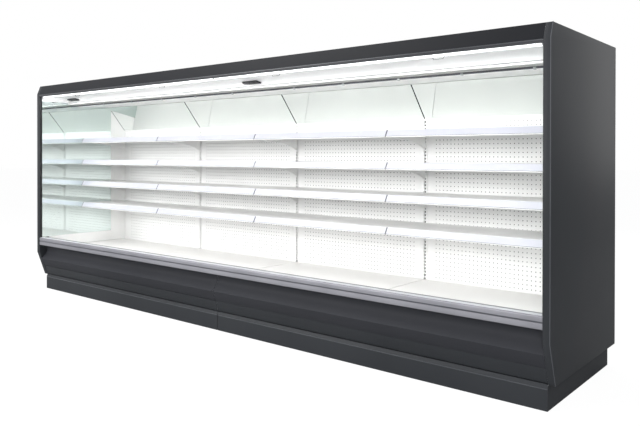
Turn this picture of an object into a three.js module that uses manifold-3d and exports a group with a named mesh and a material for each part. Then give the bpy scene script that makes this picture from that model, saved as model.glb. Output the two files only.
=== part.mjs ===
// Open multideck display fridge: two 2.5 m modules between two end panels, four bays of shelves.
// Millimetres, +Z up, +X along the length, the open front faces -Y.
// Profiles are drawn as (y, z) with y counted back from the front plane of the end panels.
import * as THREE from "three";
import { mergeVertices } from "three/addons/utils/BufferGeometryUtils.js";
import Module from "manifold-3d";

const wasm = await Module();
wasm.setup();

// ---- Driving dimensions ----
const MODULE = 2500; // one cabinet module
const BAY = MODULE / 2; // one shelf width, from upright to upright
const END_PANEL = 40; // foamed end panel thickness
const DEPTH = 1080;
const HEIGHT = 1975;
const GAP = 0.3; // between pieces that touch
const SHEET = 2; // folded sheet steel

const PLINTH_FRONT = 72.5;
const PLINTH_REAR = 1066;
const PLINTH_HEIGHT = 131;
const PLINTH_LIP = 15; // sloped top edge of the plinth
const PLINTH_FLANGE = 58; // depth of the flange behind that edge
const PLINTH_JOINT = 3; // half the gap between the two plinths
const PANEL_BOTTOM = 136; // underside of the end panels
const PANEL_CHIN = 362; // where the front of an end panel starts to slope back
const PANEL_TOE = 78; // how far back that slope ends
const BROW = 1894; // where the front starts to slope back to the top
const BROW_SET_BACK = 30;

const ROOF_TOP = 1958;
const ROOF_STEP = 1955; // the header's rear flange stands in this rebate
const HEADER_REAR = 90;
const ROOF_UNDERSIDE = 1905;
const ROOF_FRONT = 34;
const REAR_OUTSIDE = 1075;
const REAR_INSIDE = 1015; // the rear air duct lies in front of this
const TUB_BOTTOM = 150;
const TUB_FLOOR = 200;
const RISER_TOP = 494; // front wall of the tub, under the bumper
const RISER_REAR = 90;
const DECK_LEDGE = 400; // the deck trays lie on this step of the front wall
const DECK_LEDGE_REAR = 122;

const BACK_PANEL_FRONT = 959;
const UPRIGHT_FRONT = 957;
const UPRIGHT_WIDTH = 36;
const UPRIGHT_WALL = 2;

const SHELF_FRONT = 446;
const SHELF_REAR = 940;
const SHELF_LEVELS = [1426, 1208, 990, 772]; // underside of each shelf's front rail
const SHELF_SPACING = 218;
const RAIL_HEIGHT = 49.5;
const RAIL_LIP = 17.5; // upright lower lip of the rail
const RAIL_LEAN = 23; // the price strip above it leans back this far
const TRAY_TOP = 46; // shelf surface above the underside of its rail
const TRAY_SHEET = 3;
const BRACKET = 3; // bracket plate thickness
const BRACKET_INSET = 3.5; // from the bay line to the bracket
const SHELF_INSET = 2; // from the bay line to the tray's edge

const SLOT_PITCH = SHELF_SPACING / 9;
const SLOT_WIDTH = 18;
const SLOT_HEIGHT = 13;
const SLOTS = 48;
const HOOK_ABOVE = 25; // middle of a bracket's top hook above the rail's underside
const LOWEST_SLOT = SHELF_LEVELS[3] + HOOK_ABOVE - 16 * SLOT_PITCH;

const CEILING = 1796; // underside of the ceiling panel at its front
const CEILING_RISE = 18.5; // it climbs this much to the rear
const HONEYCOMB_FRONT = 303;
const HONEYCOMB_REAR = 411;
const HONEYCOMB_BOTTOM = 1811;
const HONEYCOMB_TOP = 1834;
const LINER_FRONT = [66, 1866]; // the curved liner starts behind the lamp
const LINER_CREST = [262, 1859];
const LINER_LIP = [300, 1828]; // and comes down to the air outlet

const DECK = 403; // top of the deck trays
const FAN_Y = 318;
const FAN_Z = 300;
const FAN_RADIUS = 80;
const COIL_FRONT = 520;
const COIL_REAR = 900;

// ---- Colours and finishes ----
const finish = (color, roughness, metalness) => ({ color, roughness, metalness });
const CHARCOAL = finish(0x46474a, 0.45, 0.1);
const WHITE = finish(0xe9ecec, 0.4, 0.05);
const ALUMINIUM = finish(0x9a9ba3, 0.35, 0.8);
const GALVANISED = finish(0xa7abad, 0.5, 0.7);
const MIRROR = finish(0xdfe8e6, 0.03, 1);
const LAMP = finish(0xffffff, 0.3, 0);
const BLACK = finish(0x17181a, 0.4, 0);
const HONEYCOMB = finish(0xf4f5f3, 0.5, 0);

const fridge = new THREE.Group();
const cabinet = new THREE.Group(); // profiles count y from the front plane
cabinet.position.y = -DEPTH / 2;
fridge.add(cabinet);

// ---- Helpers: profiles, solids and joining ----
function outline(points) {
  return new THREE.Shape(points.map(([y, z]) => new THREE.Vector2(y, z)));
}

// A (y, z) outline pulled along X from x0 to x1.
function alongX(shape, x0, x1) {
  const options = { depth: x1 - x0, bevelEnabled: false, curveSegments: 5 };
  const geometry = new THREE.ExtrudeGeometry(shape, options);
  const toWorld = new THREE.Matrix4().makeBasis(
    new THREE.Vector3(0, 1, 0), new THREE.Vector3(0, 0, 1), new THREE.Vector3(1, 0, 0));
  return geometry.applyMatrix4(toWorld).translate(x0, 0, 0);
}

function box(x0, x1, y0, y1, z0, z1) {
  return new THREE.BoxGeometry(x1 - x0, y1 - y0, z1 - z0)
    .translate((x0 + x1) / 2, (y0 + y1) / 2, (z0 + z1) / 2);
}

// A round post standing on (x, y), its profile given as [radius, z] from the bottom up.
function post(x, y, profile, segments) {
  const points = profile.map(([r, z]) => new THREE.Vector2(r, z));
  return new THREE.LatheGeometry(points, segments).rotateX(Math.PI / 2).translate(x, y, 0);
}

// Round bars and holes along each axis.
function barAlongX(x0, x1, y, z, radius, segments) {
  return new THREE.CylinderGeometry(radius, radius, x1 - x0, segments)
    .rotateZ(Math.PI / 2).translate((x0 + x1) / 2, y, z);
}

function barAlongY(x, y0, y1, z, radius, segments) {
  return new THREE.CylinderGeometry(radius, radius, y1 - y0, segments)
    .translate(x, (y0 + y1) / 2, z);
}

function barAlongZ(x, y, z0, z1, radius, segments) {
  return new THREE.CylinderGeometry(radius, radius, z1 - z0, segments)
    .rotateX(Math.PI / 2).translate(x, y, (z0 + z1) / 2);
}

function solidOf(geometry) {
  const bare = geometry.clone();
  bare.deleteAttribute("normal");
  bare.deleteAttribute("uv");
  const merged = mergeVertices(bare, 1e-3);
  return new wasm.Manifold(new wasm.Mesh({
    numProp: 3,
    vertProperties: new Float32Array(merged.attributes.position.array),
    triVerts: new Uint32Array(merged.index.array),
  }));
}

function join(parts, cuts = []) {
  let solid = solidOf(parts[0]);
  for (const part of parts.slice(1)) solid = solid.add(solidOf(part));
  for (const cut of cuts) solid = solid.subtract(solidOf(cut));
  const made = solid.getMesh();
  const geometry = new THREE.BufferGeometry();
  geometry.setAttribute("position", new THREE.BufferAttribute(made.vertProperties, 3));
  geometry.setIndex(new THREE.BufferAttribute(made.triVerts, 1));
  const faceted = geometry.toNonIndexed();
  faceted.computeVertexNormals();
  return faceted;
}

function addPiece(name, geometry, look) {
  const mesh = new THREE.Mesh(geometry, new THREE.MeshStandardMaterial(look));
  mesh.name = name;
  cabinet.add(mesh);
}

const SIDES = [["left", -1], ["right", 1]];
const BAY_LINES = [-2, -1, 0, 1, 2].map((n) => n * BAY);

// The span of a module along X, drawn in by inset at both ends.
function moduleSpan(side, inset) {
  return side < 0 ? [-MODULE + inset, -inset] : [inset, MODULE - inset];
}

// ---- End panels: foamed side walls, with a mirror let on the inner face ----
function endPanel(side) {
  const profile = outline([
    [0, PANEL_CHIN], [PANEL_TOE, PANEL_BOTTOM], [DEPTH, PANEL_BOTTOM],
    [DEPTH, HEIGHT], [BROW_SET_BACK, HEIGHT], [0, BROW],
  ]);
  const x0 = side < 0 ? -MODULE - END_PANEL : MODULE;
  return alongX(profile, x0, x0 + END_PANEL);
}

// The mirror fills the open end from the bumper and the deck up to the ceiling and the liner's lip.
function endMirror(side) {
  const thickness = 3, clear = 1.5;
  const front = 26, rear = 785;
  const profile = new THREE.Shape();
  profile.moveTo(front, RISER_TOP + 12);
  profile.lineTo(96, RISER_TOP + 12);
  profile.lineTo(126, DECK + 4);
  profile.lineTo(rear, DECK + 4);
  profile.lineTo(rear, CEILING + 11);
  profile.lineTo(HONEYCOMB_REAR - 0.5, CEILING - clear);
  profile.lineTo(HONEYCOMB_REAR - 0.5, HONEYCOMB_BOTTOM - clear);
  profile.lineTo(LINER_LIP[0] - clear, HONEYCOMB_BOTTOM - clear);
  profile.lineTo(LINER_LIP[0] - clear, LINER_LIP[1] - clear);
  profile.lineTo(front, LINER_LIP[1] - clear);
  const face = side * MODULE - side * GAP;
  return side < 0
    ? alongX(profile, face, face + thickness)
    : alongX(profile, face - thickness, face);
}

for (const [word, side] of SIDES) {
  addPiece(`${word}_end_panel`, endPanel(side), CHARCOAL);
  addPiece(`${word}_end_mirror`, endMirror(side), MIRROR);
}

// ---- Cabinet body: foamed tub, rear wall and roof in one C, standing on levelling feet ----
const FOOT_ROWS = [150, 1010];
const FOOT_SPINDLE = 9;
const footPlaces = (side) => [110, BAY, MODULE - 110].map((d) => side * d);

function levellingFoot(x, y) {
  const pad = 26, top = TUB_BOTTOM + 5;
  return post(x, y, [[0, 0], [pad, 0], [pad, 5], [FOOT_SPINDLE, 16], [FOOT_SPINDLE, top], [0, top]], 9);
}

function cabinetBody(side) {
  const c = 25; // foam corners are filled at 45 degrees
  const profile = outline([
    [98, TUB_BOTTOM], [REAR_OUTSIDE, TUB_BOTTOM], [REAR_OUTSIDE, ROOF_TOP], [HEADER_REAR + 1, ROOF_TOP],
    [HEADER_REAR + 1, ROOF_STEP], [ROOF_FRONT, ROOF_STEP],
    [ROOF_FRONT, ROOF_UNDERSIDE], [REAR_INSIDE - c, ROOF_UNDERSIDE], [REAR_INSIDE, ROOF_UNDERSIDE - c],
    [REAR_INSIDE, TUB_FLOOR + c], [REAR_INSIDE - c, TUB_FLOOR], [160, TUB_FLOOR], [140, TUB_FLOOR + 20],
    [140, 370], [DECK_LEDGE_REAR, 385], [DECK_LEDGE_REAR, DECK_LEDGE], [RISER_REAR, DECK_LEDGE],
    [RISER_REAR, RISER_TOP], [54, RISER_TOP], [54, 432], [70, 400], [70, 330], [98, 290],
  ]);
  const feet = footPlaces(side).flatMap((x) => FOOT_ROWS.map((y) => levellingFoot(x, y)));
  return join([alongX(profile, ...moduleSpan(side, GAP)), ...feet]);
}

for (const [word, side] of SIDES) addPiece(`cabinet_body_${word}`, cabinetBody(side), WHITE);

// ---- Plinth: folded front with a side return, clipped on the front feet ----
function plinth(side) {
  const front = PLINTH_FRONT, t = SHEET;
  const top = PLINTH_HEIGHT, lip = PLINTH_HEIGHT - PLINTH_LIP;
  const profile = outline([
    [front, 0], [front + t, 0], [front + t, lip], [front + 9.5, top - t],
    [front + PLINTH_FLANGE, top - t], [front + PLINTH_FLANGE, top], [front + 8.5, top], [front, lip],
  ]);
  const outer = side * MODULE;
  const [x0, x1] = side < 0 ? [outer, -PLINTH_JOINT] : [PLINTH_JOINT, outer];
  const returnX = side < 0 ? [outer, outer + t] : [outer - t, outer];
  const parts = [
    alongX(profile, x0, x1),
    alongX(outline([
      [front + 0.5, 0], [PLINTH_REAR, 0], [PLINTH_REAR, PANEL_BOTTOM - 2],
      [front + 30, PANEL_BOTTOM - 2], [front + 9, top - 0.5], [front + 0.5, lip],
    ]), ...returnX),
  ];
  const cuts = [];
  for (const x of footPlaces(side)) {
    parts.push(box(x - 30, x + 30, front + 1, FOOT_ROWS[0] + 12, 66, 72));
    cuts.push(barAlongZ(x, FOOT_ROWS[0], 60, 80, FOOT_SPINDLE + 0.6, 12));
    cuts.push(box(x - FOOT_SPINDLE, x + FOOT_SPINDLE, FOOT_ROWS[0], FOOT_ROWS[0] + 20, 60, 80));
  }
  return join(parts, cuts);
}

for (const [word, side] of SIDES) addPiece(`plinth_${word}`, plinth(side), CHARCOAL);

// ---- Front fascias: a cove under the bumper down to a sharp crest, and a flat panel below it ----
const COVE_TOP = [50, 427];
const COVE_DEEP = [62, 384];
const CREST = [22.6, 299.5];
const COVE_FOOT = [50.5, 226];
const FASCIA_FOOT = [77, 144];

function coveOutline() {
  const shape = new THREE.Shape();
  shape.moveTo(...COVE_TOP);
  shape.bezierCurveTo(57, 418, COVE_DEEP[0], 402, COVE_DEEP[0], COVE_DEEP[1]);
  shape.bezierCurveTo(COVE_DEEP[0], 344, 24, 332, ...CREST);
  shape.lineTo(...COVE_FOOT);
  shape.lineTo(97.7, COVE_FOOT[1]);
  shape.lineTo(97.7, COVE_FOOT[1] + SHEET);
  shape.lineTo(52, COVE_FOOT[1] + SHEET);
  shape.lineTo(CREST[0] + 2, CREST[1] + 0.7);
  shape.bezierCurveTo(26, 331, 64, 343, COVE_DEEP[0] + SHEET, COVE_DEEP[1]);
  shape.bezierCurveTo(64, 403, 59, 419, 53, 426);
  shape.closePath();
  return shape;
}

function lowerFascia(side) {
  const seam = side < 0 ? 3 : 0.6; // the left module's lower panel sits a little low
  const rear = 97.7, [foot, bottom] = FASCIA_FOOT;
  const top = COVE_FOOT[1] - seam;
  const slope = (foot - COVE_FOOT[0] - 1) / (COVE_FOOT[1] - bottom);
  const yTop = COVE_FOOT[0] + 1 + seam * slope;
  return alongX(outline([
    [yTop, top], [foot, bottom], [rear, bottom], [rear, bottom + SHEET],
    [foot + SHEET, bottom + SHEET], [yTop + SHEET, top - SHEET], [rear, top - SHEET], [rear, top],
  ]), ...moduleSpan(side, 0.75));
}

for (const [word, side] of SIDES) {
  addPiece(`front_fascia_${word}`, alongX(coveOutline(), ...moduleSpan(side, 0.75)), CHARCOAL);
  addPiece(`lower_fascia_${word}`, lowerFascia(side), CHARCOAL);
}

// ---- Bumper rail: round nose over the tub's front wall, with a groove along its face ----
function bumperRail() {
  const shape = new THREE.Shape();
  const front = 1, top = 501, bottom = 429.5, nose = 17;
  const groove = [462, 471], grooveDepth = 7;
  shape.moveTo(front, groove[1]);
  shape.lineTo(front, top - nose);
  shape.quadraticCurveTo(front, top, front + nose, top);
  shape.lineTo(50, top);
  shape.lineTo(52, top - 3);
  shape.lineTo(92.5, top - 3);
  shape.lineTo(92.5, 468);
  shape.lineTo(90.4, 468);
  shape.lineTo(90.4, RISER_TOP + GAP);
  shape.lineTo(53.6, RISER_TOP + GAP);
  shape.lineTo(53.6, 432);
  shape.lineTo(46, bottom);
  shape.lineTo(front + nose, bottom);
  shape.quadraticCurveTo(front, bottom, front, bottom + nose);
  shape.lineTo(front, groove[0]);
  shape.lineTo(front + grooveDepth, groove[0]);
  shape.lineTo(front + grooveDepth, groove[1]);
  shape.closePath();
  return alongX(shape, -MODULE + GAP, MODULE - GAP);
}
addPiece("bumper_rail", bumperRail(), ALUMINIUM);

// ---- Canopy: header fascia, lamp, liner, air outlet and ceiling ----
function headerFascia() {
  const t = SHEET;
  return alongX(outline([
    [BROW_SET_BACK, HEIGHT], [0.5, BROW], [0.5, 1871], [20, 1871], [20, 1871 + t], [0.5 + t, 1871 + t],
    [0.5 + t, BROW - 0.5], [BROW_SET_BACK + 1.4, HEIGHT - t], [HEADER_REAR - t, HEIGHT - t],
    [HEADER_REAR - t, ROOF_STEP + GAP], [HEADER_REAR, ROOF_STEP + GAP], [HEADER_REAR, HEIGHT],
  ]), -MODULE + GAP, MODULE - GAP);
}
addPiece("header_fascia", headerFascia(), CHARCOAL);

const LAMP_Y = 41;
const LAMP_Z = 1872;
const LAMP_RADIUS = 13;

function ledLamp() {
  const x0 = -MODULE + 6, x1 = MODULE - 6;
  const tube = barAlongX(x0, x1, LAMP_Y, LAMP_Z, LAMP_RADIUS, 14);
  const fin = box(x0, x1, LAMP_Y - 5, LAMP_Y + 5, LAMP_Z, ROOF_UNDERSIDE - GAP);
  const clips = [-1.5, -0.5, 0.5, 1.5].map((n) => alongX(outline([
    [LAMP_Y - 17, LAMP_Z + 8], [LAMP_Y - 17, LAMP_Z - 6], [LAMP_Y - 8, LAMP_Z - 17],
    [LAMP_Y + 8, LAMP_Z - 17], [LAMP_Y + 17, LAMP_Z - 6], [LAMP_Y + 17, LAMP_Z + 8],
  ]), n * BAY - 20, n * BAY + 20));
  const couplerGroove = barAlongX(-1.5, 1.5, LAMP_Y, LAMP_Z, LAMP_RADIUS + 4, 14);
  const core = barAlongX(-10, 10, LAMP_Y, LAMP_Z, LAMP_RADIUS - 3, 14);
  const grooved = join([tube, fin, ...clips], [couplerGroove]);
  return join([grooved, core, box(-10, 10, LAMP_Y - 5, LAMP_Y + 5, LAMP_Z, ROOF_UNDERSIDE - GAP)]);
}
addPiece("led_lamp", ledLamp(), LAMP);

function canopyLiner() {
  const t = SHEET;
  const shape = new THREE.Shape();
  shape.moveTo(LINER_FRONT[0], ROOF_UNDERSIDE - GAP);
  shape.lineTo(...LINER_FRONT);
  shape.bezierCurveTo(130, 1876, 215, 1878, ...LINER_CREST);
  shape.bezierCurveTo(280, 1851, 292, 1842, ...LINER_LIP);
  shape.lineTo(LINER_LIP[0] + t, LINER_LIP[1]);
  shape.lineTo(LINER_LIP[0] + t, HONEYCOMB_TOP);
  shape.lineTo(299, HONEYCOMB_TOP);
  shape.bezierCurveTo(290, 1848, 280, 1853.5, 263, 1861);
  shape.bezierCurveTo(215, 1880, 130, 1878, LINER_FRONT[0] + t, 1868.2);
  shape.lineTo(LINER_FRONT[0] + t, ROOF_UNDERSIDE - GAP);
  shape.closePath();
  return alongX(shape, -MODULE + GAP, MODULE - GAP);
}
addPiece("canopy_liner", canopyLiner(), WHITE);

// Air outlet cassette: its top flange hangs on the liner's lip and on the ceiling's front edge.
function airHoneycomb(side) {
  const top = HONEYCOMB_TOP + GAP;
  return alongX(outline([
    [HONEYCOMB_FRONT, HONEYCOMB_BOTTOM], [HONEYCOMB_REAR, HONEYCOMB_BOTTOM], [HONEYCOMB_REAR, top],
    [HONEYCOMB_REAR + 5, top], [HONEYCOMB_REAR + 5, top + SHEET], [HONEYCOMB_FRONT - 2, top + SHEET],
    [HONEYCOMB_FRONT - 2, top], [HONEYCOMB_FRONT, top],
  ]), ...moduleSpan(side, 1));
}
for (const [word, side] of SIDES) addPiece(`air_honeycomb_${word}`, airHoneycomb(side), HONEYCOMB);

function ceilingPanel() {
  const front = HONEYCOMB_REAR + 1, rear = UPRIGHT_FRONT - GAP, t = SHEET;
  return alongX(outline([
    [front, HONEYCOMB_TOP], [front, CEILING], [rear, CEILING + CEILING_RISE],
    [rear, CEILING + 30], [rear - t, CEILING + 30],
    [rear - t, CEILING + CEILING_RISE + t], [front + t, CEILING + t], [front + t, HONEYCOMB_TOP],
  ]), -MODULE + GAP, MODULE - GAP);
}
addPiece("ceiling_panel", ceilingPanel(), WHITE);

// Thermometer with a round-ended window and a slanted switch half, under the liner.
function temperatureDisplay(moduleLeft) {
  const length = 190, width = 40, thick = 12;
  const face = new THREE.Shape();
  face.moveTo(-length / 2, -width / 2);
  face.lineTo(length / 2 - 26, -width / 2);
  face.lineTo(length / 2, width / 2);
  face.lineTo(-length / 2, width / 2);
  face.closePath();
  const window = new THREE.Path();
  window.moveTo(-length / 2 + 12, -11);
  window.lineTo(-length / 2 + 12, 11);
  window.lineTo(-10, 11);
  window.lineTo(-10, -11);
  window.closePath();
  const plate = new THREE.ExtrudeGeometry(face, { depth: thick - 3, bevelEnabled: false });
  face.holes.push(window);
  const bezel = new THREE.ExtrudeGeometry(face, { depth: 3.01, bevelEnabled: false }).translate(0, 0, -3);
  const body = join([plate, bezel]);
  return body.rotateX(THREE.MathUtils.degToRad(-23)).translate(moduleLeft + 168, 257, 1846);
}
for (const [word, side] of SIDES) {
  addPiece(`temperature_display_${word}`, temperatureDisplay(side < 0 ? -MODULE : 0), BLACK);
}

// ---- Slotted uprights: rear channels that carry the shelves ----
function upright(line) {
  const half = UPRIGHT_WIDTH / 2, t = UPRIGHT_WALL, depth = REAR_INSIDE - GAP;
  const atEnd = Math.abs(line) === MODULE;
  const inward = -Math.sign(line);
  const edges = atEnd ? [line + inward * (GAP + 0.2), line + inward * half] : [line - half, line + half];
  const [x0, x1] = edges.sort((a, b) => a - b);
  const z0 = TUB_FLOOR + GAP, z1 = ROOF_UNDERSIDE - 30;
  const plate = box(x0, x1, UPRIGHT_FRONT, UPRIGHT_FRONT + t, z0 + 30, z1);
  const webs = [
    box(x0, x0 + t, UPRIGHT_FRONT + 0.5, depth, z0 + 30, z1),
    box(x1 - t, x1, UPRIGHT_FRONT + 0.5, depth, z0 + 30, z1),
  ];
  const seat = box(x0, x1, UPRIGHT_FRONT - 34, UPRIGHT_FRONT + 1, 389, 391); // carries the deck trays
  const slotEdge = atEnd ? 3.2 : -SLOT_WIDTH / 2; // the half channels keep an outer edge
  const slots = [];
  for (let n = 0; n < SLOTS; n += 1) {
    const z = LOWEST_SLOT + n * SLOT_PITCH;
    const a = atEnd ? line + inward * slotEdge : line + slotEdge;
    const b = atEnd ? line + (inward * SLOT_WIDTH) / 2 : line + SLOT_WIDTH / 2;
    slots.push(box(Math.min(a, b), Math.max(a, b), UPRIGHT_FRONT - 1, UPRIGHT_FRONT + t + 1,
      z - SLOT_HEIGHT / 2, z + SLOT_HEIGHT / 2));
  }
  return join([plate, ...webs, seat], slots);
}
BAY_LINES.forEach((line, n) => addPiece(`upright_${n + 1}`, upright(line), WHITE));

// ---- Back panels and sloped mirrors, one per bay ----
const MIRROR_FOOT = [952, 1572];
const MIRROR_HEAD = [765, 1804.5];

function backPanel(bay) {
  const x0 = BAY_LINES[bay] + UPRIGHT_WIDTH / 2 + 0.5, x1 = BAY_LINES[bay + 1] - UPRIGHT_WIDTH / 2 - 0.5;
  const y = BACK_PANEL_FRONT, t = SHEET;
  const top = MIRROR_FOOT[1] - GAP; // its top flange carries the mirror's foot
  return alongX(outline([
    [y - 26, 389], [y - 26, 391], [y, 391], [y, top - t], [y - 10, top - t], [y - 10, top],
    [y + t, top], [y + t, 389],
  ]), x0, x1);
}

function slopeMirror(bay) {
  const t = 5;
  const run = MIRROR_FOOT[0] - MIRROR_HEAD[0], rise = MIRROR_HEAD[1] - MIRROR_FOOT[1];
  const length = Math.hypot(run, rise);
  const back = [(t * rise) / length, (t * run) / length];
  return alongX(outline([
    MIRROR_HEAD, MIRROR_FOOT,
    [MIRROR_FOOT[0] + back[0] - 2, MIRROR_FOOT[1] + back[1] - 1.5],
    [MIRROR_HEAD[0] + back[0], MIRROR_HEAD[1] + back[1]],
  ]), BAY_LINES[bay] + 4, BAY_LINES[bay + 1] - 4);
}

for (let bay = 0; bay < 4; bay += 1) {
  addPiece(`back_panel_${bay + 1}`, backPanel(bay), WHITE);
  addPiece(`slope_mirror_${bay + 1}`, slopeMirror(bay), MIRROR);
}

// ---- Shelves: folded tray, front price rail and two hooked brackets in one piece ----
function shelfBracket(x, z) {
  const rear = UPRIGHT_FRONT - GAP;
  const shape = new THREE.Shape();
  const hook = HOOK_ABOVE;
  const lower = HOOK_ABOVE - 3 * SLOT_PITCH;
  shape.moveTo(474, TRAY_TOP - 2);
  shape.lineTo(462, 14);
  shape.lineTo(600, -4);
  shape.quadraticCurveTo(780, -26, rear - 14, -72);
  shape.lineTo(rear, -72);
  shape.lineTo(rear, lower - 4);
  shape.lineTo(rear + 7, lower - 4);
  shape.lineTo(rear + 7, lower + 4);
  shape.lineTo(rear, lower + 4);
  shape.lineTo(rear, hook - 4.5);
  shape.lineTo(961.2, hook - 4.5);
  shape.lineTo(961.2, hook - 9);
  shape.lineTo(964.5, hook - 9);
  shape.lineTo(964.5, hook + 4.5);
  shape.lineTo(rear, hook + 4.5);
  shape.lineTo(rear - 8, TRAY_TOP - 2);
  shape.closePath();
  return alongX(shape, x, x + BRACKET).translate(0, 0, z);
}

function shelf(level, bay) {
  const z = SHELF_LEVELS[level];
  const x0 = BAY_LINES[bay] + (bay === 0 ? 4 : SHELF_INSET);
  const x1 = BAY_LINES[bay + 1] - (bay === 3 ? 4 : SHELF_INSET);
  const y = SHELF_FRONT, under = TRAY_TOP - TRAY_SHEET;
  const section = outline([
    [y + RAIL_LEAN, RAIL_HEIGHT], [y, RAIL_LIP], [y - 1.5, RAIL_LIP - 2], [y - 1.5, 2], [y, 0],
    [y + 17, 0], [y + 17, 3], [y + 3, 3], [y + 3, RAIL_LIP - 0.5], [y + RAIL_LEAN - 1.3, under],
    [SHELF_REAR - 3, under], [SHELF_REAR - 3, under - 13], [SHELF_REAR, under - 13],
    [SHELF_REAR, TRAY_TOP], [y + RAIL_LEAN + 3.5, TRAY_TOP], [y + RAIL_LEAN + 3.5, RAIL_HEIGHT],
  ]);
  const left = BAY_LINES[bay] + BRACKET_INSET + (bay === 0 ? 1 : 0);
  const right = BAY_LINES[bay + 1] - BRACKET_INSET - BRACKET - (bay === 3 ? 1 : 0);
  return join([
    alongX(section, x0, x1).translate(0, 0, z),
    shelfBracket(left, z),
    shelfBracket(right, z),
  ]);
}

SHELF_LEVELS.forEach((_, level) => {
  for (let bay = 0; bay < 4; bay += 1) addPiece(`shelf_${level + 1}_${bay + 1}`, shelf(level, bay), WHITE);
});

// ---- Deck trays: lift-out sheets over the coils, with air intake slots along the front ----
function deckTray(bay) {
  const x0 = BAY_LINES[bay] + 4, x1 = BAY_LINES[bay + 1] - 4;
  const t = SHEET, y0 = RISER_REAR + 4, y1 = UPRIGHT_FRONT - 2;
  const sheet = alongX(outline([
    [y0, DECK_LEDGE + GAP], [y0 + t, DECK_LEDGE + GAP], [y0 + t, DECK - t], [y1 - t, DECK - t],
    [y1 - t, 391 + GAP], [y1, 391 + GAP], [y1, DECK], [y0, DECK],
  ]), x0, x1);
  const slots = [];
  const count = 9, land = 22;
  const length = (x1 - x0 - 60 - (count - 1) * land) / count;
  for (let n = 0; n < count; n += 1) {
    const a = x0 + 30 + n * (length + land);
    slots.push(box(a, a + length, 150, 178, DECK - 10, DECK + 10));
  }
  return join([sheet], slots);
}
for (let bay = 0; bay < 4; bay += 1) addPiece(`deck_tray_${bay + 1}`, deckTray(bay), WHITE);

// ---- Evaporators and fans in the tub, under the deck trays ----
const fanPlaces = (side) => [0.5 * BAY, 1.5 * BAY].map((d) => side * d);
const FAN_PLATE = FAN_Y + 14; // front face of the fan plate

function evaporator(side) {
  const [x0, x1] = moduleSpan(side, 60);
  const floor = TUB_FLOOR + GAP;
  const parts = [
    box(x0, x1, FAN_PLATE, COIL_REAR + 20, floor, floor + SHEET), // drip pan
    box(x0, x1, FAN_PLATE, FAN_PLATE + SHEET, floor, 385), // fan plate
    box(x0 + 40, x1 - 40, COIL_FRONT, COIL_REAR, floor + 1, 370), // finned block
    box(x0, x0 + SHEET, FAN_PLATE + 1, COIL_REAR + 20, floor + 1, 380), // end sheets
    box(x1 - SHEET, x1, FAN_PLATE + 1, COIL_REAR + 20, floor + 1, 380),
  ];
  const cuts = [];
  const fins = 14;
  const step = (x1 - x0 - 80) / fins;
  for (let n = 0; n < fins; n += 1) {
    const x = x0 + 40 + (n + 0.5) * step;
    cuts.push(box(x - step / 4, x + step / 4, COIL_FRONT - 1, COIL_FRONT + 60, 215, 380));
  }
  const motors = [];
  for (const x of fanPlaces(side)) {
    cuts.push(barAlongY(x, FAN_PLATE - 5, FAN_PLATE + 5, FAN_Z, FAN_RADIUS + 5, 24));
    motors.push(barAlongY(x, FAN_PLATE, FAN_PLATE + 44, FAN_Z, 28, 16));
    motors.push(barAlongY(x, FAN_Y - 8, FAN_PLATE + 1, FAN_Z, 4, 8));
    for (const turn of [0, 120, 240]) {
      const strut = new THREE.BoxGeometry(8, 4, FAN_RADIUS - 10)
        .translate(0, FAN_PLATE + 4, 20 + (FAN_RADIUS - 10) / 2)
        .rotateY(THREE.MathUtils.degToRad(turn)).translate(x, 0, FAN_Z);
      motors.push(strut);
    }
  }
  return join([join(parts, cuts), ...motors]);
}
for (const [word, side] of SIDES) addPiece(`evaporator_${word}`, evaporator(side), GALVANISED);

// Five twisted blades on a hub that turns on the motor's shaft.
function fan(x) {
  const hub = barAlongY(0, -9, 9, 0, 24, 10);
  const blades = [];
  for (let n = 0; n < 5; n += 1) {
    const blade = new THREE.BoxGeometry(46, 2, FAN_RADIUS - 20, 1, 1, 2);
    const place = blade.attributes.position;
    for (let i = 0; i < place.count; i += 1) {
      const out = place.getZ(i) / (FAN_RADIUS - 20) + 0.5; // 0 at the hub, 1 at the tip
      const pitch = THREE.MathUtils.degToRad(34 - 16 * out);
      const across = place.getX(i) * (0.55 + 0.45 * out), thick = place.getY(i);
      place.setXYZ(i, across * Math.cos(pitch) - thick * Math.sin(pitch),
        across * Math.sin(pitch) + thick * Math.cos(pitch), 18 + out * (FAN_RADIUS - 18));
    }
    blades.push(blade.rotateY((n * 2 * Math.PI) / 5));
  }
  const bore = barAlongY(0, -12, 12, 0, 4.5, 8);
  return join([hub, ...blades], [bore]).translate(x, FAN_Y, FAN_Z);
}
[-1.5, -0.5, 0.5, 1.5].forEach((n, i) => addPiece(`fan_${i + 1}`, fan(n * BAY), BLACK));

export default fridge;
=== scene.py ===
"""Open multideck display fridge: two shop modules between two end panels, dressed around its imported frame."""

import math

import bmesh
import bpy
from mathutils import Matrix, Vector, geometry


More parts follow.
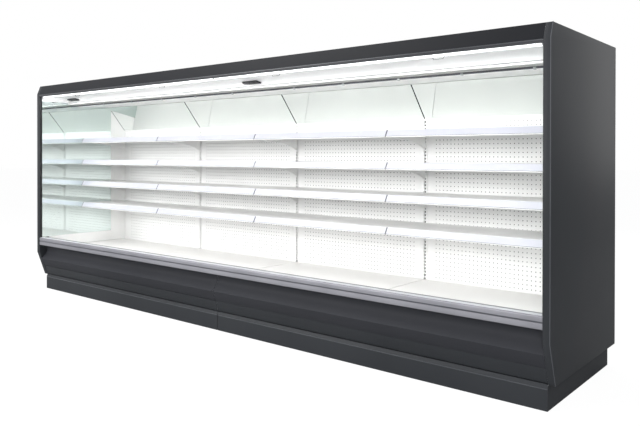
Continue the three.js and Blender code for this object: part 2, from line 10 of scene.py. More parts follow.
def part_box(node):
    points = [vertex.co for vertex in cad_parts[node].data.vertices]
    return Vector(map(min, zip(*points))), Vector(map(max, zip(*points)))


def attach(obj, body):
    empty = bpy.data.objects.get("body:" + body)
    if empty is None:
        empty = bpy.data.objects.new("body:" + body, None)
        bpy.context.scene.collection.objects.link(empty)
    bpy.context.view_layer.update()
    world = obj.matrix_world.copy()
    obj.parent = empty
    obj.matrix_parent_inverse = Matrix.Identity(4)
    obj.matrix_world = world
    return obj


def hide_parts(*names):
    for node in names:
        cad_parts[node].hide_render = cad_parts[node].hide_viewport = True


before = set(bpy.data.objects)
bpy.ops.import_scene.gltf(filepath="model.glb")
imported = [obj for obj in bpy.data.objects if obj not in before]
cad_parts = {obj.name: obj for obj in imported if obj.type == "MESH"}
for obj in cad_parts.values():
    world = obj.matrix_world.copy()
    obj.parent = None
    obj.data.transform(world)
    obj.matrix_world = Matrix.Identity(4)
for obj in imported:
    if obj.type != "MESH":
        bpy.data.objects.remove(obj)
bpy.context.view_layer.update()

# ---- Camera: the photograph's viewpoint, at eye height off the right front corner ----
# The picture is 640 x 426. Its upright edges stay nearly parallel, so the camera is almost level and its
# sensor is shifted down instead.
camera_data = bpy.data.cameras.new("camera")
camera_data.lens = 37.55
camera_data.sensor_width = 36.0
camera_data.shift_x = -0.01014
camera_data.shift_y = -0.08425
camera = bpy.data.objects.new("camera", camera_data)
camera.location = (3.771, -3.8057, 1.3044)
camera.rotation_euler = (math.radians(89.681), math.radians(-0.078), math.radians(39.227))
bpy.context.scene.collection.objects.link(camera)
bpy.context.scene.camera = camera

# ---- Studio: a pale floor, a white surround and soft lamps ----
# Floor and surround look white to the camera, and the surround is brighter above than below. Two wide lamps
# light the front, and the one overhead stands to the left, so the header falls off gently to the right.
def pale_backdrop(tree, lit_shader, glow, share, rays):
    """Mixes lit_shader with a share of white glow for the kinds of ray that are named."""
    path = tree.nodes.new("ShaderNodeLightPath")
    seen = path.outputs[rays[0]]
    for ray in rays[1:]:
        either = tree.nodes.new("ShaderNodeMath")
        either.operation = "MAXIMUM"
        tree.links.new(seen, either.inputs[0])
        tree.links.new(path.outputs[ray], either.inputs[1])
        seen = either.outputs[0]
    part = tree.nodes.new("ShaderNodeMath")
    part.operation = "MULTIPLY"
    part.inputs[1].default_value = share
    tree.links.new(seen, part.inputs[0])
    mix = tree.nodes.new("ShaderNodeMixShader")
    tree.links.new(part.outputs[0], mix.inputs[0])
    tree.links.new(lit_shader.outputs[0], mix.inputs[1])
    tree.links.new(glow.outputs[0], mix.inputs[2])
    return mix


studio_floor = bpy.data.objects.new("studio_floor", bpy.data.meshes.new("studio_floor"))
floor_bm = bmesh.new()
bmesh.ops.create_grid(floor_bm, x_segments=1, y_segments=1, size=60)
floor_bm.to_mesh(studio_floor.data)
floor_bm.free()
bpy.context.scene.collection.objects.link(studio_floor)

floor_paint = bpy.data.materials.new("studio_floor_paint")
floor_paint.use_nodes = True
tree = floor_paint.node_tree
floor_coat = tree.nodes["Principled BSDF"]
floor_coat.inputs["Base Color"].default_value = (0.42, 0.42, 0.42, 1)
floor_coat.inputs["Roughness"].default_value = 0.9
floor_coat.inputs["Specular IOR Level"].default_value = 0.1
floor_glow = tree.nodes.new("ShaderNodeEmission")
floor_glow.inputs["Strength"].default_value = 1.24
floor_mix = pale_backdrop(tree, floor_coat, floor_glow, 0.75, ["Is Camera Ray", "Is Transmission Ray"])
tree.links.new(floor_mix.outputs[0], tree.nodes["Material Output"].inputs["Surface"])
studio_floor.data.materials.append(floor_paint)

world = bpy.data.worlds.new("studio_surround")
bpy.context.scene.world = world
world.use_nodes = True
tree = world.node_tree
direction = tree.nodes.new("ShaderNodeTexCoord")
height = tree.nodes.new("ShaderNodeSeparateXYZ")
tree.links.new(direction.outputs["Generated"], height.inputs["Vector"])
level = tree.nodes.new("ShaderNodeMapRange")
level.inputs["From Min"].default_value = -0.1
level.inputs["From Max"].default_value = 0.8
level.inputs["To Min"].default_value = 0.15
level.inputs["To Max"].default_value = 0.55
tree.links.new(height.outputs["Z"], level.inputs["Value"])
tree.links.new(level.outputs["Result"], tree.nodes["Background"].inputs["Strength"])
tree.nodes["Background"].inputs["Color"].default_value = (0.95, 0.97, 1.0, 1)
surround_white = tree.nodes.new("ShaderNodeBackground")
surround_white.inputs["Color"].default_value = (1, 1, 1, 1)
surround_mix = pale_backdrop(tree, tree.nodes["Background"], surround_white, 1.0,
                             ["Is Camera Ray", "Is Glossy Ray", "Is Transmission Ray"])
tree.links.new(surround_mix.outputs[0], tree.nodes["World Output"].inputs["Surface"])

for lamp_name, place, target, size, watts in (
    ("lamp_left", (-3.5, -6.5, 2.4), (-0.5, 0.0, 1.0), (4.0, 1.8), 280),
    ("lamp_front", (4.4, -5.8, 2.2), (0.5, 0.0, 1.0), (3.0, 1.8), 235),
    ("lamp_above", (-2.2, -3.2, 5.0), (-1.0, 0.0, 0.3), (4.0, 4.0), 210),
    ("lamp_right", (6.5, -1.5, 4.6), (2.5, 0.0, 1.8), (2.5, 2.5), 80),
    ("lamp_back", (-3.0, 6.5, 3.0), (0.0, 0.0, 1.0), (4.0, 2.5), 150),
):
    lamp_data = bpy.data.lights.new(lamp_name, "AREA")
    lamp_data.shape = "RECTANGLE"
    lamp_data.size, lamp_data.size_y = size
    lamp_data.energy = watts
    studio_lamp = bpy.data.objects.new(lamp_name, lamp_data)
    studio_lamp.location = place
    studio_lamp.rotation_euler = (Vector(target) - Vector(place)).to_track_quat("-Z", "Y").to_euler()
    bpy.context.scene.collection.objects.link(studio_lamp)

bpy.context.scene.view_settings.view_transform = "Standard"

# ---- Levelling feet: six under each module ----
# A steel spindle with a rolled thread stands in a rubber-faced plastic pad, and a lock nut holds its height
# under the foamed tub. They carry the whole cabinet.
FOOT_ROWS = (-0.390, 0.470)
FOOT_COLUMNS = (0.110, 1.250, 2.390)
SPINDLE_TOP = 0.156
FOOT_PAD = [(0, 0), (0.024, 0), (0.026, 0.002), (0.026, 0.006), (0.022, 0.010), (0.013, 0.016),
            (0.011, 0.024), (0.0065, 0.026), (0, 0.026)]
THREAD_STEPS = 27
THREAD = [(0.0062 if n % 2 else 0.0075, 0.0265 + 0.0045 * n) for n in range(THREAD_STEPS)]
LOCK_NUT = [(0.0076, 0.120), (0.014, 0.120), (0.015, 0.122), (0.015, 0.130), (0.014, 0.132), (0.0076, 0.132),
            (0.0076, 0.120)]
HEAD_PLATE = [(0, 0.132), (0.024, 0.132), (0.024, SPINDLE_TOP), (0, SPINDLE_TOP)]
SIDES = (("left", -1), ("right", 1))
FOLD_ANGLE = 32


def paint_colour(red, green, blue):
    """A 0 to 255 display colour as the linear colour that a shader takes."""
    linear = [c / 255 / 12.92 if c <= 10 else ((c / 255 + 0.055) / 1.055) ** 2.4 for c in (red, green, blue)]
    return (*linear, 1)


def grain(tree, scale, detail, stretch=(1, 1, 1)):
    """A noise over the piece's own coordinates, stretched where the finish has a direction."""
    place = tree.nodes.new("ShaderNodeTexCoord")
    turn = tree.nodes.new("ShaderNodeMapping")
    turn.inputs["Scale"].default_value = stretch
    tree.links.new(place.outputs["Object"], turn.inputs["Vector"])
    noise = tree.nodes.new("ShaderNodeTexNoise")
    noise.inputs["Scale"].default_value = scale
    noise.inputs["Detail"].default_value = detail
    tree.links.new(turn.outputs["Vector"], noise.inputs["Vector"])
    return noise


def shade(tree, pattern, dark, light, low=0.35, high=0.65):
    """Spreads a pattern between two colours."""
    ramp = tree.nodes.new("ShaderNodeValToRGB")
    ramp.color_ramp.elements[0].position, ramp.color_ramp.elements[1].position = low, high
    ramp.color_ramp.elements[0].color, ramp.color_ramp.elements[1].color = dark, light
    tree.links.new(pattern, ramp.inputs["Fac"])
    return ramp


def finish(name, dark, light, roughness, metallic=0.0, specular=0.5, cloud=2.0, grain_size=900.0,
           relief=0.03, stretch=(1, 1, 1), coat=0.0):
    """A painted, moulded or rolled surface: clouded colour, uneven gloss and a fine relief."""
    material = bpy.data.materials.new(name)
    material.use_nodes = True
    tree = material.node_tree
    surface = tree.nodes["Principled BSDF"]
    surface.inputs["Metallic"].default_value = metallic
    surface.inputs["Specular IOR Level"].default_value = specular
    surface.inputs["Coat Weight"].default_value = coat
    clouds = grain(tree, cloud, 3.0)
    tint = shade(tree, clouds.outputs["Fac"], paint_colour(*dark), paint_colour(*light))
    tree.links.new(tint.outputs["Color"], surface.inputs["Base Color"])
    skin = grain(tree, grain_size, 2.0, stretch)
    gloss = tree.nodes.new("ShaderNodeMapRange")
    gloss.inputs["To Min"].default_value = roughness - 0.06
    gloss.inputs["To Max"].default_value = roughness + 0.06
    tree.links.new(skin.outputs["Fac"], gloss.inputs["Value"])
    tree.links.new(gloss.outputs["Result"], surface.inputs["Roughness"])
    bump = tree.nodes.new("ShaderNodeBump")
    bump.inputs["Strength"].default_value = relief
    bump.inputs["Distance"].default_value = 0.0004
    tree.links.new(skin.outputs["Fac"], bump.inputs["Height"])
    tree.links.new(bump.outputs["Normal"], surface.inputs["Normal"])
    return material


def finished(name, bm, material, body="cabinet", stands_for=()):
    """Makes the piece, smooth but for its folds, and says what it is made of, rides on and stands for."""
    mesh = bpy.data.meshes.new(name)
    bm.to_mesh(mesh)
    bm.free()
    mesh.shade_smooth()
    mesh.set_sharp_from_angle(angle=math.radians(FOLD_ANGLE))
    mesh.materials.append(material)
    piece = bpy.data.objects.new(name, mesh)
    bpy.context.scene.collection.objects.link(piece)
    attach(piece, body)
    if stands_for:
        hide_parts(*stands_for)


def turned(bm, profile, centre, segments=20):
    """Spins a (radius, z) profile round the upright axis through centre."""
    x, y = centre
    ring = [bm.verts.new((x + r, y, z)) for r, z in profile]
    line = [bm.edges.new(pair) for pair in zip(ring, ring[1:])]
    bmesh.ops.spin(bm, geom=ring + line, cent=(x, y, 0), axis=(0, 0, 1), angle=2 * math.pi,
                   steps=segments, use_merge=True)


zinc = finish("zinc_plate", (150, 153, 156), (188, 191, 193), 0.34, metallic=0.9, cloud=30, grain_size=500)
black_moulding = finish("black_moulding", (20, 20, 22), (30, 30, 32), 0.45, cloud=12, grain_size=1500,
                        relief=0.1)

for side_name, side in SIDES:
    pads, spindles = bmesh.new(), bmesh.new()
    for foot_x in FOOT_COLUMNS:
        for foot_y in FOOT_ROWS:
            centre = (side * foot_x, foot_y)
            turned(pads, FOOT_PAD, centre)
            turned(spindles, [(0, 0.0262), *THREAD, (0.0075, SPINDLE_TOP), (0, SPINDLE_TOP)], centre, 12)
            turned(spindles, LOCK_NUT, centre, 6)
            turned(spindles, HEAD_PLATE, centre)
    for made in (pads, spindles):
        bmesh.ops.remove_doubles(made, verts=made.verts, dist=1e-6)
        bmesh.ops.recalc_face_normals(made, faces=made.faces)
    finished(f"foot_pads_{side_name}", pads, black_moulding)
    finished(f"foot_spindles_{side_name}", spindles, zinc)

# ---- Cabinet shells: the foamed tub, rear wall and roof of each module ----
# One C of white-skinned foam a module, bolted to its neighbour at the middle. Its inner corners are filled,
# and its front wall carries the bumper.
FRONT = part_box("left_end_panel")[0].y
INNER_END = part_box("right_end_panel")[0].x
MODULE_GAP = 0.0003
SHELL = [(0.098, 0.152), (1.073, 0.152), (1.073, 1.956), (0.036, 1.956), (0.036, 1.905), (1.015, 1.905),
         (1.015, 0.200), (0.140, 0.200), (0.140, 0.380), (0.122, 0.386), (0.122, 0.400), (0.090, 0.400),
         (0.090, 0.494), (0.054, 0.494), (0.054, 0.432), (0.081, 0.405), (0.081, 0.340), (0.098, 0.290)]
INNER_CORNERS = (5, 6, 7)
STEP_CORNERS = (8, 9, 10, 12, 13, 14, 15, 16)


def corners_of(made):
    """The vertices among what a bmesh operator made."""
    return [v for v in made if isinstance(v, bmesh.types.BMVert)]


def drawn(bm, section, x0, x1, rounds=(), segments=4):
    """A closed (depth behind the front plane, height) section drawn out along X. rounds lists
    (radius, corner numbers) for the corners that are rounded."""
    ring = [bm.verts.new((x0, FRONT + depth, height)) for depth, height in section]
    grown = bmesh.ops.extrude_face_region(bm, geom=[bm.faces.new(ring)])["geom"]
    far = corners_of(grown)
    bmesh.ops.translate(bm, verts=far, vec=(x1 - x0, 0, 0))
    made = ring + far
    long_edges = [next(e for e in v.link_edges if e.other_vert(v).co.x != v.co.x) for v in ring]
    bmesh.ops.recalc_face_normals(bm, faces=list(dict.fromkeys(f for v in made for f in v.link_faces)))
    for radius, corners in rounds:
        bmesh.ops.bevel(bm, geom=[long_edges[n] for n in corners], offset=radius, offset_type="OFFSET",
                        segments=segments, profile=0.5, affect="EDGES", material=-1)


def softened(bm, width, angle=30, segments=2):
    """Rounds every edge that turns more than angle, as a folded or moulded edge is."""
    bm.normal_update()
    sharp = [e for e in bm.edges if e.is_manifold and e.calc_face_angle(0) > math.radians(angle)]
    bmesh.ops.bevel(bm, geom=sharp, offset=width, offset_type="OFFSET", segments=segments, profile=0.5,
                    affect="EDGES", material=-1, clamp_overlap=True)


white_paint = finish("white_powder_coat", (245, 245, 244), (249, 249, 248), 0.36, cloud=1.5, relief=0.04)

for side_name, side in SIDES:
    x0, x1 = sorted((side * MODULE_GAP, side * (INNER_END - MODULE_GAP)))
    shell = bmesh.new()
    drawn(shell, SHELL, x0, x1, rounds=[(0.025, INNER_CORNERS), (0.003, STEP_CORNERS)])
    finished(f"cabinet_shell_{side_name}", shell, white_paint,
             stands_for=[f"cabinet_body_{side_name}"])

# ---- Outer skins: galvanised sheets behind, under and over the foam ----
# Each module's rear is closed by three galvanised sheets, with rows of blind rivets along their joints. The
# same sheet lies under the tub and over the roof.
SHEET = 0.0012
REAR_SHEETS = 3
SHEET_GAP = 0.001
REAR_FACE = 1.0735
RIVET_RADIUS = 0.0035
RIVET_RISE = 0.0014
RIVET_INSET = 0.018
RIVET_HEIGHTS = [0.20 + 0.172 * k for k in range(11)]

spangle = finish("galvanised_sheet", (150, 154, 157), (178, 181, 183), 0.42, metallic=0.85, cloud=45,
                 grain_size=260, relief=0.02)


def folded(bm, path, x0, x1, thickness, bend=0.002, segments=3, bends=None):
    """Sheet metal folded along X. path is walked with its outer face on the left, and the thickness lies
    on the right. bends gives a radius for the folds that it numbers; the others take bend."""
    before = set(bm.faces)
    edge = [bm.verts.new((x0, FRONT + depth, height)) for depth, height in path]
    strips = [bm.edges.new(pair) for pair in zip(edge, edge[1:])]
    grown = bmesh.ops.extrude_edge_only(bm, edges=strips)["geom"]
    far = corners_of(grown)
    bmesh.ops.translate(bm, verts=far, vec=(x1 - x0, 0, 0))
    folds = [next(e for e in v.link_edges if e.other_vert(v).co.x != v.co.x) for v in edge]
    for number in range(1, len(path) - 1):
        radius = (bends or {}).get(number, bend)
        if radius:
            bmesh.ops.bevel(bm, geom=[folds[number]], offset=radius, offset_type="OFFSET", segments=segments,
                            profile=0.5, affect="EDGES", material=-1)
    bmesh.ops.solidify(bm, geom=[f for f in bm.faces if f not in before], thickness=thickness)


for side_name, side in SIDES:
    sheets = bmesh.new()
    width = (INNER_END - 2 * MODULE_GAP) / REAR_SHEETS
    heads = []
    for n in range(REAR_SHEETS):
        a, b = sorted((side * (MODULE_GAP + n * width + SHEET_GAP),
                       side * (MODULE_GAP + (n + 1) * width - SHEET_GAP)))
        drawn(sheets, [(REAR_FACE, 0.160), (REAR_FACE + SHEET, 0.160), (REAR_FACE + SHEET, 1.950),
                       (REAR_FACE, 1.950)], a, b)
        for x in (a + RIVET_INSET, b - RIVET_INSET):
            heads += [(x, FRONT + REAR_FACE + SHEET, height) for height in RIVET_HEIGHTS]
        drawn(sheets, [(0.100, 0.150), (1.072, 0.150), (1.072, 0.1515), (0.100, 0.1515)], a, b)
        drawn(sheets, [(0.092, 1.9565), (1.074, 1.9565), (1.074, 1.9577), (0.092, 1.9577)], a, b)
    for place in heads:
        bmesh.ops.create_cone(sheets, cap_ends=True, segments=10, radius1=RIVET_RADIUS,
                              radius2=RIVET_RADIUS * 0.55, depth=RIVET_RISE,
                              matrix=Matrix.Translation(place) @ Matrix.Rotation(-math.pi / 2, 4, "X") @
                              Matrix.Translation((0, 0, RIVET_RISE / 2)))
    finished(f"outer_skins_{side_name}", sheets, spangle)

# ---- Plinths: kick plates clipped to the front feet ----
# Painted sheet steel with a sloped top edge and a return along each end. Plastic clips behind snap round the
# spindles, so a plinth pulls off for cleaning.
PLINTH_FRONT = 0.0725
PLINTH_LIP = 0.116
PLINTH_TOP = 0.1375
PLINTH_FLANGE = 0.1300
PLINTH_JOINT = 0.003
PLINTH_SLOPE = 0.0085
PLINTH_SHEET = 0.002

charcoal_paint = finish("charcoal_powder_coat", (42, 44, 47), (46, 48, 51), 0.42, specular=0.16, cloud=1.2,
                        grain_size=1100, relief=0.05)
# A lighter charcoal, laid along folds and edges as a painted highlight.
highlight_paint = finish("painted_edge_highlight", (66, 68, 72), (72, 74, 78), 0.3, specular=0.3, cloud=6)
kick_paint = finish("kick_plate_coat", (43, 45, 48), (47, 49, 52), 0.46, specular=0.12, cloud=1.2,
                    grain_size=1100, relief=0.05)


def block(bm, low, high):
    """A box between two corners."""
    size = Vector(high) - Vector(low)
    bmesh.ops.create_cube(bm, size=1, matrix=Matrix.Translation((Vector(low) + Vector(high)) / 2) @
                          Matrix.Diagonal((*size, 1)))


for side_name, side in SIDES:
    plinth = bmesh.new()
    x0, x1 = sorted((side * INNER_END, side * PLINTH_JOINT))
    folded(plinth, [(PLINTH_FRONT, 0.0), (PLINTH_FRONT, PLINTH_LIP),
                    (PLINTH_FRONT + PLINTH_SLOPE, PLINTH_TOP), (PLINTH_FLANGE, PLINTH_TOP)],
           x0, x1, PLINTH_SHEET, bend=0.0012)
    # A lighter strip along the lip's lower fold is a painted highlight.
    fold_highlight = bmesh.new()
    block(fold_highlight, (x0 + 0.0005, FRONT + PLINTH_FRONT - 0.0008, PLINTH_LIP - 0.0060),
          (x1 - 0.0005, FRONT + PLINTH_FRONT + 0.0004, PLINTH_LIP - 0.0005))
    softened(fold_highlight, 0.0004)
    finished(f"plinth_painted_highlight_{side_name}", fold_highlight, highlight_paint)
    drawn(plinth, [(PLINTH_FRONT + PLINTH_SHEET, 0.0), (1.066, 0.0), (1.066, 0.134), (0.1025, 0.134),
                   (0.0835, 0.1305), (PLINTH_FRONT + PLINTH_SHEET, 0.114)],
          *sorted((side * INNER_END, side * (INNER_END - PLINTH_SHEET))))
    finished(f"plinth_plate_{side_name}", plinth, kick_paint,
             stands_for=[f"plinth_{side_name}"])
    clips = bmesh.new()
    for foot_x in FOOT_COLUMNS:
        x, y = side * foot_x, FOOT_ROWS[0]
        block(clips, (x - 0.022, FRONT + PLINTH_FRONT + 0.0021, 0.058), (x + 0.022, FRONT + 0.0775, 0.082))
        for jaw in (-1, 1):
            inner, outer = sorted((x + jaw * 0.0082, x + jaw * 0.0125))
            block(clips, (inner, FRONT + 0.0770, 0.062), (outer, y + 0.010, 0.078))
    softened(clips, 0.001)
    finished(f"plinth_clips_{side_name}", clips, black_moulding)

joiner = bmesh.new()
folded(joiner, [(PLINTH_FRONT + 0.0023, 0.002), (PLINTH_FRONT + 0.0023, PLINTH_LIP - 0.0005),
                (PLINTH_FRONT + 0.0098, PLINTH_TOP - 0.0023), (PLINTH_FLANGE, PLINTH_TOP - 0.0023)],
       -0.030, 0.030, SHEET, bend=0.0012)
finished("plinth_joiner", joiner, black_moulding)

# ---- Evaporators and fans: in the tub, under the deck trays ----
# Aluminium fins on copper tube in a galvanised casing, and two axial fans a module that blow through it.
# The fin block, pan and motors keep their frame solids and show when a tray is lifted.
FANS = 4
FAN_TIP = 0.080
FAN_HUB = 0.024
FAN_BLADES = 5
BLADE_PITCH, BLADE_TWIST = 36, 17
BLADE_CHORD, BLADE_FLARE = 0.030, 0.022
BLADE_SWEEP = 0.006
BLADE_CAMBER = 0.004
BLADE_ROOT = 0.003

fin_metal = finish("evaporator_fins", (150, 155, 158), (186, 190, 192), 0.38, metallic=0.85, cloud=120,
                   grain_size=700, relief=0.2, stretch=(6, 0.2, 0.2))


def repaint(node, material):
    """Gives a frame solid that shows as it is its real finish."""
    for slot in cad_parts[node].material_slots:
        slot.material = material


for side_name, side in SIDES:
    repaint(f"evaporator_{side_name}", fin_metal)

for fan_number in range(1, FANS + 1):
    low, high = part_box(f"fan_{fan_number}")
    rotor = bmesh.new()
    for v in bmesh.ops.create_grid(rotor, x_segments=4, y_segments=5, size=0.5)["verts"]:
        out = v.co.y + 0.5
        pitch = math.radians(BLADE_PITCH - BLADE_TWIST * out)
        across = v.co.x * (BLADE_CHORD + BLADE_FLARE * out) + BLADE_SWEEP * out
        v.co = (across * math.cos(pitch), FAN_HUB - BLADE_ROOT + out * (FAN_TIP - FAN_HUB + BLADE_ROOT),
                across * math.sin(pitch) + BLADE_CAMBER * (1 - (2 * v.co.x) ** 2))
    bmesh.ops.solidify(rotor, geom=rotor.faces[:], thickness=0.0016)
    blade = rotor.verts[:] + rotor.edges[:] + rotor.faces[:]
    for n in range(1, FAN_BLADES):
        copied = bmesh.ops.duplicate(rotor, geom=blade)["geom"]
        bmesh.ops.rotate(rotor, verts=corners_of(copied),
                         matrix=Matrix.Rotation(n * 2 * math.pi / FAN_BLADES, 3, "Z"))
    turned(rotor, [(0.0046, -0.010), (0.018, -0.012), (FAN_HUB, -0.006), (FAN_HUB, 0.008), (0.0046, 0.008),
                   (0.0046, -0.010)], (0, 0), 28)
    bmesh.ops.recalc_face_normals(rotor, faces=rotor.faces)
    bmesh.ops.rotate(rotor, verts=rotor.verts, matrix=Matrix.Rotation(math.pi / 2, 3, "X"))
    bmesh.ops.translate(rotor, verts=rotor.verts, vec=(low + high) / 2)
    finished(f"fan_rotor_{fan_number}", rotor, black_moulding, body=f"fan_{fan_number}",
             stands_for=[f"fan_{fan_number}"])

# ---- End walls: foamed panels with a white lining and a mirror ----
# The charcoal skin wraps the front edge, which slopes back at the foot and at the brow. Inside, the mirror
# fills the open end, leaves a strip of white lining at the rear and has a white film over its foot.
END_OUTLINE = ((0, 0.362), (0.078, 0.136), (1.080, 0.136), (1.080, 1.975), (0.030, 1.975), (0, 1.894))
LINING = 0.0008
MIRROR_FRONT = 0.026
MIRROR_REAR = 0.785

silver = finish("silvered_glass", (245, 248, 246), (246, 249, 247), 0.035, metallic=1.0, cloud=0.8,
                grain_size=3, relief=0.004)
tinted_silver = finish("tinted_silver", (218, 228, 226), (221, 231, 229), 0.035, metallic=1.0, cloud=0.8,
                       grain_size=3, relief=0.004)

for side_name, side in SIDES:
    wall = bmesh.new()
    drawn(wall, END_OUTLINE, *sorted((side * INNER_END, side * (INNER_END + 0.040))))
    softened(wall, 0.0030, segments=3)
    finished(f"{side_name}_end_wall", wall, charcoal_paint,
             stands_for=[f"{side_name}_end_panel"])

    # A lighter strip along the panel's front outer edge is a painted highlight.
    highlight_strip = bmesh.new()
    folded(highlight_strip, [(0.0300, 1.9756), (-0.0006, 1.8940), (-0.0006, 0.3620), (0.0778, 0.1360)],
           *sorted((side * (INNER_END + 0.0362), side * (INNER_END + 0.0404))), SHEET,
           bends={1: 0.001, 2: 0.001})
    finished(f"{side_name}_end_painted_highlight", highlight_strip, highlight_paint)

    lining = bmesh.new()
    drawn(lining, [(0.0955, 0.200), (1.015, 0.200), (1.015, 1.905), (MIRROR_FRONT, 1.905),
                   (MIRROR_FRONT, 0.503), (0.0955, 0.503)],
          *sorted((side * (INNER_END - 0.00005), side * (INNER_END - LINING))))
    finished(f"{side_name}_end_lining", lining, white_paint)

    edging = bmesh.new()
    drawn(edging, [(0.0035, 0.503), (MIRROR_FRONT - 0.0003, 0.503), (MIRROR_FRONT - 0.0003, 1.870),
                   (0.0035, 1.870)], *sorted((side * (INNER_END - 0.00005), side * (INNER_END - 0.0022))))
    softened(edging, 0.0006)
    finished(f"{side_name}_end_edging", edging, black_moulding)

    glass = bmesh.new()
    drawn(glass, [(MIRROR_FRONT, 0.506), (0.096, 0.506), (0.126, 0.407), (MIRROR_REAR, 0.407),
                  (MIRROR_REAR, 1.8070), (0.4105, 1.7945), (0.4105, 1.8095), (0.2985, 1.8095),
                  (0.2985, 1.8265), (MIRROR_FRONT, 1.8265)],
          *sorted((side * (INNER_END - LINING - 0.0002), side * (INNER_END - 0.0034))))
    finished(f"{side_name}_end_glass", glass, tinted_silver,
             stands_for=[f"{side_name}_end_mirror"])

    film = bmesh.new()
    drawn(film, [(0.0975, 0.5065), (0.1275, 0.4085), (MIRROR_REAR - 0.0005, 0.4085),
                 (MIRROR_REAR - 0.0005, 0.5065)],
          *sorted((side * (INNER_END - 0.00345), side * (INNER_END - 0.0038))))
    finished(f"{side_name}_end_film", film, white_paint)

# ---- Uprights and back panels: what the shelves hang on, and the air duct's face ----
# Slotted white channels stand at the bay lines. Between them hang perforated sheets that spread the cold air
# from the duct behind. Dark sheets behind the holes and the uprights' slots are painted shade in the duct.
BAYS = 4
BAY = 1.25
BAY_LINES = [(n - 2) * BAY for n in range(BAYS + 1)]
PANEL_FACE = 0.959
PANEL_FOOT = 0.389
PANEL_HEAD = 1.5717
HOLE_COLUMNS = 37
HOLE_ROWS = 38
HOLE_PITCH = 0.030
HOLE_RADIUS = 0.0036
FIELD_EDGE = 0.078
JOGGLE = 0.034
JOGGLE_RUN, JOGGLE_DROP = 0.0012, 0.0015
PANEL_EDGE = 0.0190
SHADE_REACH = 0.0155
END_SHADE_START = 0.0032

duct_painted_shade = finish("duct_painted_shade", (44, 45, 47), (52, 53, 55), 0.9, specular=0.1, cloud=9, grain_size=800,
                   relief=0.4)

for upright_number, bay_line in enumerate(BAY_LINES, 1):
    repaint(f"upright_{upright_number}", white_paint)
    inward = {1: 1, BAYS + 1: -1}.get(upright_number, 0)
    start = inward * END_SHADE_START if inward else -SHADE_REACH
    x0, x1 = sorted((bay_line + start, bay_line + (inward or 1) * SHADE_REACH))
    # A dark strip behind each upright's slots is painted shade.
    core = bmesh.new()
    block(core, (x0, FRONT + 0.985, 0.420), (x1, FRONT + 0.988, 1.860))
    finished(f"upright_painted_shade_{upright_number}", core, duct_painted_shade)


def repeated(bm, steps):
    """Copies all that bm holds once for each step, moved by that step."""
    first = bm.verts[:] + bm.edges[:] + bm.faces[:]
    for step in steps:
        copied = bmesh.ops.duplicate(bm, geom=first)["geom"]
        bmesh.ops.translate(bm, verts=corners_of(copied), vec=step)


cell = bmesh.new()
pitch_x = (BAY - 2 * FIELD_EDGE) / HOLE_COLUMNS
hole = bmesh.ops.create_circle(cell, segments=8, radius=HOLE_RADIUS)["verts"]
hole_edges = list(dict.fromkeys(e for v in hole for e in v.link_edges))
corners = [cell.verts.new((sx * pitch_x / 2, sy * HOLE_PITCH / 2, 0)) for sx, sy in
           ((0, 1), (-1, 1), (-1, 0), (-1, -1), (0, -1), (1, -1), (1, 0), (1, 1))]
corner_edges = [cell.edges.new((corners[n], corners[(n + 1) % 8])) for n in range(8)]
bmesh.ops.bridge_loops(cell, edges=hole_edges + corner_edges)
repeated(cell, [(n * pitch_x, 0, 0) for n in range(1, HOLE_COLUMNS)])
bmesh.ops.remove_doubles(cell, verts=cell.verts, dist=1e-5)
repeated(cell, [(0, n * HOLE_PITCH, 0) for n in range(1, HOLE_ROWS)])
bmesh.ops.remove_doubles(cell, verts=cell.verts, dist=1e-5)
bmesh.ops.translate(cell, verts=cell.verts, vec=(FIELD_EDGE + pitch_x / 2, HOLE_PITCH / 2, 0))


def pulled_out(bm, reached, steps):
    """Pulls the boundary edges that reached() picks outwards by each step in turn."""
    line = [e for e in bm.edges if e.is_boundary and all(reached(v.co) for v in e.verts)]
    for step in steps:
        grown = bmesh.ops.extrude_edge_only(bm, edges=line)["geom"]
        moved = corners_of(grown)
        bmesh.ops.translate(bm, verts=moved, vec=step)
        line = [e for e in grown if isinstance(e, bmesh.types.BMEdge) and all(v in moved for v in e.verts)]


field_top = HOLE_ROWS * HOLE_PITCH
spare = PANEL_HEAD - PANEL_FOOT - field_top
near = 1e-4
pulled_out(cell, lambda co: co.x < FIELD_EDGE + near,
           [(JOGGLE - FIELD_EDGE, 0, 0), (-JOGGLE_RUN, 0, -JOGGLE_DROP),
            (PANEL_EDGE - JOGGLE + JOGGLE_RUN, 0, 0)])
pulled_out(cell, lambda co: co.x > BAY - FIELD_EDGE - near,
           [(FIELD_EDGE - JOGGLE, 0, 0), (JOGGLE_RUN, 0, -JOGGLE_DROP),
            (JOGGLE - JOGGLE_RUN - PANEL_EDGE, 0, 0)])
pulled_out(cell, lambda co: co.y > field_top - near, [(0, spare / 2, 0), (0, 0, 0.009)])
pulled_out(cell, lambda co: co.y < near, [(0, -spare / 2, 0), (0, 0, 0.026)])
bmesh.ops.recalc_face_normals(cell, faces=cell.faces)
if sum(f.normal.z for f in cell.faces) < 0:
    bmesh.ops.reverse_faces(cell, faces=cell.faces)
bmesh.ops.solidify(cell, geom=cell.faces[:], thickness=0.0008)
bmesh.ops.rotate(cell, verts=cell.verts, matrix=Matrix.Rotation(math.pi / 2, 3, "X"))
perforated = bpy.data.meshes.new("perforated_sheet")
cell.to_mesh(perforated)
cell.free()

